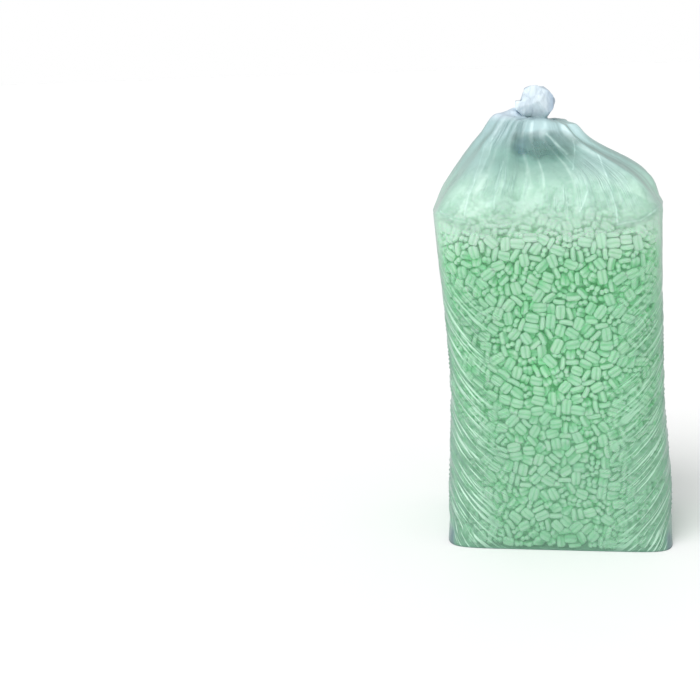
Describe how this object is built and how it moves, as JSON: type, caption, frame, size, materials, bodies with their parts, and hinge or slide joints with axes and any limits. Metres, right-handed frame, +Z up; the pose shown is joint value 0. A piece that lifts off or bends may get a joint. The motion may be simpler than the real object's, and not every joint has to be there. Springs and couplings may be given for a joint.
{
  "type": "packing peanut bag",
  "caption": "Knotted clear film bag, boxy and flat-based, filled with loose two-lobed starch packing peanuts, its neck gathered into pleats under a ruffled mouth.",
  "frame": {"origin": "on the floor under the bag's flat base, at the middle of the bag's whole extent", "axes": "+Z up from the base to the tied neck, +X along the bag's width, the front faces -Y"},
  "size_m": [0.7745, 0.59, 1.4834],
  "materials": {
    "clear_film": "glossy, see-through, slightly milky",
    "starch_foam": "matte foam"
  },
  "bodies": {
    "root": {"film_bag": "clear_film", "peanut_fill": "starch_foam", "loose_peanut_01": "starch_foam", "loose_peanut_02": "starch_foam", "loose_peanut_03": "starch_foam", "loose_peanut_04": "starch_foam", "loose_peanut_05": "starch_foam", "loose_peanut_06": "starch_foam", "loose_peanut_07": "starch_foam", "loose_peanut_08": "starch_foam", "loose_peanut_09": "starch_foam", "loose_peanut_10": "starch_foam", "loose_peanut_11": "starch_foam", "loose_peanut_12": "starch_foam", "loose_peanut_13": "starch_foam", "loose_peanut_14": "starch_foam", "loose_peanut_15": "starch_foam", "loose_peanut_16": "starch_foam", "loose_peanut_17": "starch_foam", "loose_peanut_18": "starch_foam", "loose_peanut_19": "starch_foam", "loose_peanut_20": "starch_foam", "loose_peanut_21": "starch_foam", "loose_peanut_22": "starch_foam"}
  },
  "joints": []
}
